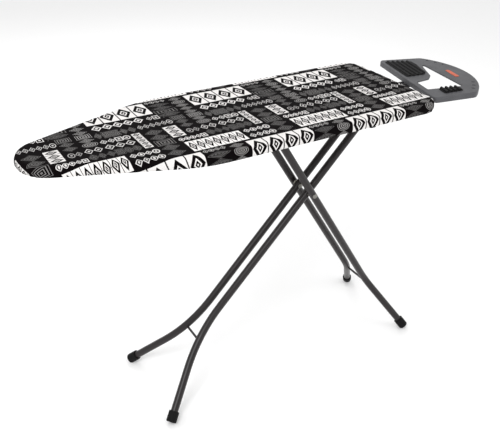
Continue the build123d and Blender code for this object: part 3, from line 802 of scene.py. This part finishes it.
@dataclass
class CottonCover:
    """The printed cover: a stretched top, a soft rolled edge, a short skirt and a gathered hem.

    Attributes:
        outline: The board's plan.
        roll: The radius of the soft top edge over the foam.
        skirt: The skirt's straight height.
        tuck: The radius where the skirt turns under.
        hem: How far in the hem reaches.
        channel: The radius of the sewn channel at the hem's edge.
        thickness: The cloth's thickness, with its thin backing.
        gather_mm: The spacing of the gathers.
        inner_shares: The top's rings, as shares of the way in to the spine.
        spine_ends: How far the spine stops short of the nose and of the wide end.
        top_ripple: How far the gathers reach on the top, in millimetres.
        roll_ripple: Their reach where the roll starts, and its growth over it.
        skirt_ripple: The same down the skirt.
        tuck_ripple: The same under the tuck.
        hem_ripple: Their reach on the hem.
        tuck_lift: The gathers' lift, which each ring of the tuck adds.
        hem_lift: The lift where the hem starts, and its growth over it.
        bulge: How far the skirt swells.
        dip: How far the top's middle lies below its edge.
        dip_share: The share of the way in at which it is that low.
        lowest: The furthest that a gather may sink, as a share of its lift.
        slack: The top's unevenness.
        nose_curve: The distances from the nose between which its curve's gathers fade out.
        end_curve: The distances from the wide end between which its gathers fade in.
        changes: How fast the broad and the fine gathers change down the cloth, to the metre.
        finer: How many times closer the fine gathers are.
        sharpness: How sharp the creases between the broad gathers are.
        depths: The depths of the broad and of the fine gathers.
        straight_share: The share of that depth on the straight sides.
        curve_share: The share that the curves add.
        flat_area: The flat cloth's area, known once it is built.
    """

    outline: BoardOutline
    roll: float = 9 * MM
    skirt: float = 14 * MM
    tuck: float = 4.5 * MM
    hem: float = 30 * MM
    channel: float = 2.6 * MM
    thickness: float = 1.0 * MM
    gather_mm: float = 17.0
    inner_shares: tuple[float, ...] = (1.0, 0.82, 0.64, 0.48, 0.34, 0.22, 0.13, 0.06, 0.0)
    spine_ends: tuple[float, float] = (0.11, 0.12)
    top_ripple: float = 0.25
    roll_ripple: tuple[float, float] = (0.3, 0.5)
    skirt_ripple: tuple[float, float] = (0.8, 0.9)
    tuck_ripple: tuple[float, float] = (1.7, -0.5)
    hem_ripple: float = 0.9
    tuck_lift: float = 0.2
    hem_lift: tuple[float, float] = (0.6, 2.6)
    bulge: float = 0.9 * MM
    dip: float = 0.5 * MM
    dip_share: float = 0.3
    lowest: float = -0.2
    slack: tuple[Slack, ...] = (Slack(9, 11, 2, 0.5), Slack(24, 30, 7, 0.25))
    nose_curve: tuple[float, float] = (0.02, 0.16)
    end_curve: tuple[float, float] = (0.06, 0.02)
    changes: tuple[float, float] = (9.0, 14.0)
    finer: float = 2.3
    sharpness: float = 2.4
    depths: tuple[float, float] = (0.55, 0.8)
    straight_share: float = 0.55
    curve_share: float = 0.6
    flat_area: float = field(init=False, default=0.0)

    def stations(self) -> list[Station]:
        """Lists the rings, from the spine outward and down.

        Returns:
            The stations in order.
        """
        roll_rings, skirt_rings, tuck_rings, hem_rings, channel_rings = 6, 4, 3, 5, 8
        rings = [
            Station(-self.roll, 0, -self.roll, self.top_ripple * MM, inner=share)
            for share in self.inner_shares
        ]
        for index in range(1, roll_rings + 1):
            angle = index / roll_rings * math.pi / 2
            out, drop = self.roll * (math.sin(angle) - 1), self.roll * (1 - math.cos(angle))
            ripple = (self.roll_ripple[0] + self.roll_ripple[1] * index / roll_rings) * MM
            rings.append(Station(out, drop, self.roll * (angle - 1), ripple))
        cut, low = self.roll * (math.pi / 2 - 1), self.roll
        for index in range(1, skirt_rings + 1):
            share = index / skirt_rings
            out = self.bulge * math.sin(share * math.pi)
            ripple = (self.skirt_ripple[0] + self.skirt_ripple[1] * share) * MM
            rings.append(Station(out, low + self.skirt * share, cut + self.skirt * share, ripple))
        cut += self.skirt
        low += self.skirt
        for index in range(1, tuck_rings + 1):
            angle = index / tuck_rings * math.pi / 2
            out, drop = self.tuck * (math.cos(angle) - 1), low + self.tuck * math.sin(angle)
            ripple = (self.tuck_ripple[0] + self.tuck_ripple[1] * index / tuck_rings) * MM
            lift = self.tuck_lift * MM * index
            rings.append(Station(out, drop, cut + self.tuck * angle, ripple, lift))
        cut += self.tuck * math.pi / 2
        low += self.tuck
        width = self.hem - self.tuck
        ripple = self.hem_ripple * MM
        for index in range(1, hem_rings + 1):
            share = index / hem_rings
            out = -self.tuck - width * share
            lift = (self.hem_lift[0] + self.hem_lift[1] * share) * MM
            rings.append(Station(out, low, cut + width * share, ripple, lift))
        cut += width
        lift = sum(self.hem_lift) * MM
        # The channel's last ring is left off, so that the rolled edge stays open.
        for index in range(1, channel_rings):
            angle = index / channel_rings * 2 * math.pi
            out = -self.hem - self.channel * math.sin(angle)
            drop = low - self.channel * (1 - math.cos(angle))
            rings.append(Station(out, drop, cut + self.channel * angle, ripple, lift))
        return rings

    def cut_size(self) -> tuple[float, float, float]:
        """The flat cloth's length, width and area before it was gathered.

        Returns:
            Length and width in metres, and the area in square metres.
        """
        reach = self.stations()[-1].cut
        length = self.outline.end_x - self.outline.nose_x + 2 * reach
        width = 2 * (self.outline.half_width + reach)
        return length, width, self.flat_area

    def build(self) -> bpy.types.Object:
        """Makes the cover from the outline, ring by ring.

        Returns:
            The cover, with its cloth UV map.
        """
        bm = bmesh.new()
        plan = bm.verts.layers.float_vector.new("plan")
        side = bm.verts.layers.float_vector.new("side")
        cloth = bm.verts.layers.float_vector.new("cloth_place")
        self.outline.ring(bm)
        for vert in bm.verts:
            vert[plan] = vert.co
            vert[side] = self.outline.outward(vert)
        rings = self.stations()
        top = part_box("ironing_cover")[1].z
        loop = bm.edges[:]
        for index, station in enumerate(rings):
            if index:
                # Of the new edges, the next ring's are the ones with both ends new.
                grown = bmesh.ops.extrude_edge_only(bm, edges=loop)["geom"]
                new = set(grown)
                edges = [e for e in grown if isinstance(e, bmesh.types.BMEdge)]
                loop = [e for e in edges if all(v in new for v in e.verts)]
            verts = {v for e in loop for v in e.verts}
            for vert in verts:
                self._place(vert, station, Vector(vert[plan]), Vector(vert[side]), cloth, top)
        # On the top, the rings close on the board's spine.
        bmesh.ops.remove_doubles(bm, verts=bm.verts[:], dist=0.02 * MM)
        bmesh.ops.recalc_face_normals(bm, faces=bm.faces[:])
        self._face_up(bm)
        uv = bm.loops.layers.uv.new(PrintedCotton.cloth_map)
        for face in bm.faces:
            for corner in face.loops:
                corner[uv].uv = corner.vert[cloth].xy
        self.flat_area = self._measure(bm, uv)
        cover = as_object(bm, "printed_cover")
        wall = cover.modifiers.new("cloth thickness", "SOLIDIFY")
        wall.thickness, wall.offset = self.thickness, -1.0
        return cover

    @staticmethod
    def _face_up(bm: bmesh.types.BMesh) -> None:
        """Turns the open shell so that its top faces up.

        Args:
            bm: The cover's mesh.
        """
        highest = max(bm.faces, key=lambda face: abs(face.normal.z) * face.calc_area())
        if highest.normal.z < 0:
            bmesh.ops.reverse_faces(bm, faces=bm.faces[:])

    @staticmethod
    def _measure(bm: bmesh.types.BMesh, uv: Any) -> float:
        """Adds up the cloth's flat area.

        Args:
            bm: The cover's mesh.
            uv: Its cloth map, in metres.

        Returns:
            Square metres.
        """
        total = 0.0
        for face in bm.faces:
            points = [corner[uv].uv for corner in face.loops]
            pairs = zip(points, points[1:] + points[:1])
            total += abs(sum(a.x * b.y - b.x * a.y for a, b in pairs)) / 2
        return total

    def _place(
        self, vert: Any, station: Station, plan: Vector, side: Vector, cloth: Any, top: float
    ) -> None:
        """Moves one vertex of a ring to its place, with the cloth's gathers and slack.

        Args:
            vert: The vertex.
            station: Its ring.
            plan: Its point of the outline.
            side: The outline's outward direction there.
            cloth: The layer for its place on the flat cloth.
            top: The height of the board's top.
        """
        gathers = self._gathers(plan, station)
        base = plan + side * (station.out + station.ripple * gathers)
        spine_x = max(plan.x, self.outline.nose_x + self.spine_ends[0])
        spine = Vector((min(spine_x, self.outline.end_x - self.spine_ends[1]), 0, 0))
        spot = base.lerp(spine, station.inner)
        height = top - station.drop + station.lift * max(gathers, self.lowest)
        if not station.drop:
            height -= self.dip * smooth(0.0, self.dip_share, station.inner) - self._slack(spot)
        vert.co = (spot.x, spot.y, height)
        if station.inner > 0:
            vert[cloth] = (spot.x, spot.y, 0)
        else:
            vert[cloth] = plan + side * station.cut

    def _gathers(self, plan: Vector, station: Station) -> float:
        """How far the gathered edge stands out, from -1 to 1.

        Args:
            plan: The point of the outline.
            station: The ring.

        Returns:
            The gathers' height, which is stronger round the nose and the corners.
        """
        nose, end = self.outline.nose_x, self.outline.end_x
        curved = 1 - smooth(nose + self.nose_curve[0], nose + self.nose_curve[1], plan.x)
        curved = max(curved, smooth(end - self.end_curve[0], end - self.end_curve[1], plan.x))
        pitch = 1000 / self.gather_mm
        # Broad gathers have sharp creases between them, and finer ones lie over them.
        x, y = plan.x * pitch, plan.y * pitch
        fold = noise.noise(Vector((x, y, station.cut * self.changes[0])))
        x, y = x * self.finer, y * self.finer
        fine = noise.noise(Vector((x, y, 5 + station.cut * self.changes[1])))
        crease = 1 - 2 * min(abs(fold) * self.sharpness, 1)
        depth = self.depths[0] * crease + self.depths[1] * fine
        return depth * (self.straight_share + self.curve_share * curved)

    def _slack(self, spot: Vector) -> float:
        """The top's slight unevenness over the foam, in metres.

        Args:
            spot: A point of the top.

        Returns:
            The rise above the flat top.
        """
        return MM * sum(
            one.rise * noise.noise(Vector((spot.x * one.x, spot.y * one.y, one.layer)))
            for one in self.slack
        )

    def dress(self, cover: bpy.types.Object) -> None:
        """Args:
            cover: The built cover.
        """
        cover.data.materials.append(PrintedCotton().material())
        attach(cover, "board")
        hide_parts("ironing_cover")
        length, width, area = self.cut_size()
        log.info("cover: cut %.0f x %.0f mm, %.3f m2", length / MM, width / MM, area)


@dataclass
class FoamSheet:
    """The foam sheet under the cover, which swells a little into the mesh's slots.

    Attributes:
        outline: The board's plan.
        inset: How far it stops short of the outline.
        rounding: The radius of its upper edge.
        swell: The unevenness of its faces.
        swell_scale: The unevenness's scale, to the metre.
    """

    outline: BoardOutline
    inset: float = 2.6 * MM
    rounding: float = 4.5 * MM
    swell: float = 0.15 * MM
    swell_scale: float = 60

    def build(self) -> bpy.types.Object:
        """Makes the sheet: the outline filled, thickened and rounded.

        Returns:
            The foam sheet.
        """
        low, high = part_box("foam_pad")
        bm = bmesh.new()
        self.outline.ring(bm)
        places = [(vert, vert.co - self.outline.outward(vert) * self.inset) for vert in bm.verts]
        for vert, place in places:
            vert.co = (place.x, place.y, low.z + self.swell)
        bmesh.ops.contextual_create(bm, geom=bm.edges[:])
        grown = bmesh.ops.extrude_face_region(bm, geom=bm.faces[:])["geom"]
        raised = [v for v in grown if isinstance(v, bmesh.types.BMVert)]
        rise = high.z - low.z - 2 * self.swell
        bmesh.ops.translate(bm, verts=raised, vec=(0, 0, rise))
        upper = set(raised)
        brim = [e for e in bm.edges if all(v in upper for v in e.verts)]
        bmesh.ops.bevel(
            bm,
            geom=brim,
            offset=self.rounding,
            segments=4,
            profile=0.5,
            affect="EDGES",
            material=-1,
        )
        bmesh.ops.recalc_face_normals(bm, faces=bm.faces[:])
        for vert in bm.verts:
            vert.co.z += self.swell * noise.noise(vert.co * self.swell_scale)
        return as_object(bm, "foam_sheet")

    def dress(self, pad: bpy.types.Object) -> None:
        """Args:
            pad: The built sheet.
        """
        pad.data.materials.append(FINISHES["foam"].material())
        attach(pad, "board")
        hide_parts("foam_pad")
        log.info("foam sheet: %d faces", len(pad.data.polygons))


# ---------------------------------------------------------------- rigid parts
class RigidParts:
    """The CAD's rigid nodes, which keep their shapes and get their real finishes."""

    def __init__(self) -> None:
        """Reads each node's material slot from the record."""
        self.slots = {part["node"]: part["material_slot"] for part in frame["record"]["subparts"]}
        self.made: dict[str, bpy.types.Material] = {}

    def dress(self) -> None:
        """Gives every shown CAD node its finish."""
        for name, node in sorted(frame["nodes"].items()):
            slot = self.slots[name]
            if slot not in FINISHES or node.hide_render:
                continue
            if slot not in self.made:
                self.made[slot] = FINISHES[slot].material()
            node.data.materials.clear()
            node.data.materials.append(self.made[slot])
            log.info("%s: %s", name, self.made[slot].name)


# ---------------------------------------------------------------- studio
@dataclass(frozen=True)
class SoftLight:
    """One large soft light.

    Attributes:
        name: Its use.
        place: Where it hangs.
        size: Its side.
        power: Its power, in watts.
    """

    name: str
    place: tuple[float, float, float]
    size: float
    power: float


@dataclass
class Studio:
    """A plain pale floor, soft lights and the camera.

    Attributes:
        eye: The camera's place.
        azimuth: Its turn, in degrees.
        elevation: Its height above the horizon, in degrees.
        roll: Its tilt, in degrees.
        lens: Its focal length, in millimetres.
        sensor: Its sensor's width, in millimetres.
        floor_half: Half the floor's side.
        floor_drop: How far the floor lies under the feet.
        surround: The strength of the pale surround.
        aim: What the lights point at.
        soft_lights: The lights.
    """

    eye: Vector
    azimuth: float = -31.388
    elevation: float = 30.791
    roll: float = 1.068
    lens: float = 49.10
    sensor: float = 36.0
    floor_half: float = 14.0
    floor_drop: float = 0.1 * MM
    surround: float = 0.86
    aim: tuple[float, float, float] = (-0.1, 0, 0.5)
    soft_lights: tuple[SoftLight, ...] = (
        SoftLight("key", (-2.4, -1.6, 3.2), 1.6, 62.0),
        SoftLight("fill", (2.6, -2.2, 2.0), 2.0, 18.0),
        SoftLight("rim", (0.6, 2.8, 2.6), 2.0, 26.0),
    )

    def floor(self) -> None:
        """Lays the floor."""
        bm = bmesh.new()
        bmesh.ops.create_grid(bm, x_segments=8, y_segments=8, size=self.floor_half)
        bmesh.ops.translate(bm, verts=bm.verts[:], vec=(0, 0, -self.floor_drop))
        floor = as_object(bm, "floor")
        shader = Shader("matt white studio board")
        cloud = shader.add("ShaderNodeTexNoise", {"Scale": 40.0}).outputs["Fac"]
        rough = shader.add(
            "ShaderNodeMapRange", {"Value": cloud, "To Min": 0.85, "To Max": 0.95}
        ).outputs[0]
        shader.feed(
            shader.surface,
            {"Base Color": linear("#fcfcfc"), "Roughness": rough, "Specular IOR Level": 0.1},
        )
        floor.data.materials.append(shader.material)

    def lights(self) -> None:
        """Hangs a pale surround and three large soft lights."""
        world = bpy.data.worlds.new("studio surround")
        world.use_nodes = True
        bpy.context.scene.world = world
        background = world.node_tree.nodes["Background"]
        background.inputs["Color"].default_value = (1, 1, 1, 1)
        background.inputs["Strength"].default_value = self.surround
        for soft in self.soft_lights:
            lamp = bpy.data.lights.new(soft.name, "AREA")
            lamp.size, lamp.energy = soft.size, soft.power
            light = bpy.data.objects.new(soft.name, lamp)
            bpy.context.scene.collection.objects.link(light)
            light.location = soft.place
            towards = Vector(self.aim) - Vector(soft.place)
            light.rotation_euler = towards.to_track_quat("-Z", "Y").to_euler()

    def camera(self) -> None:
        """Places the camera."""
        turn, rise, tilt = (math.radians(a) for a in (self.azimuth, self.elevation, self.roll))
        level = math.cos(rise)
        back = Vector((math.sin(turn) * level, -math.cos(turn) * level, math.sin(rise)))
        right = (-back).cross(Vector((0, 0, 1))).normalized()
        up = right.cross(-back)
        across = right * math.cos(tilt) + up * math.sin(tilt)
        upright = up * math.cos(tilt) - right * math.sin(tilt)
        data = bpy.data.cameras.new("studio camera")
        data.sensor_width, data.lens = self.sensor, self.lens
        camera = bpy.data.objects.new("studio camera", data)
        bpy.context.scene.collection.objects.link(camera)
        axes = Matrix((across, upright, back)).transposed().to_4x4()
        camera.matrix_world = Matrix.Translation(self.eye) @ axes
        bpy.context.scene.camera = camera

    def build(self) -> None:
        """Sets up the whole studio with plain colour handling."""
        self.camera()
        self.floor()
        self.lights()
        bpy.context.scene.view_settings.view_transform = "Standard"


def main() -> None:
    """Builds the ironing board's visible parts in order."""
    logging.basicConfig(level=logging.INFO, format="%(message)s")
    Studio(eye=Vector((-0.9406, -1.4331, 1.5116))).build()
    outline = BoardOutline()
    foam = FoamSheet(outline)
    foam.dress(foam.build())
    cover = CottonCover(outline)
    cover.dress(cover.build())
    RigidParts().dress()


if __name__ == "__main__":
    main()
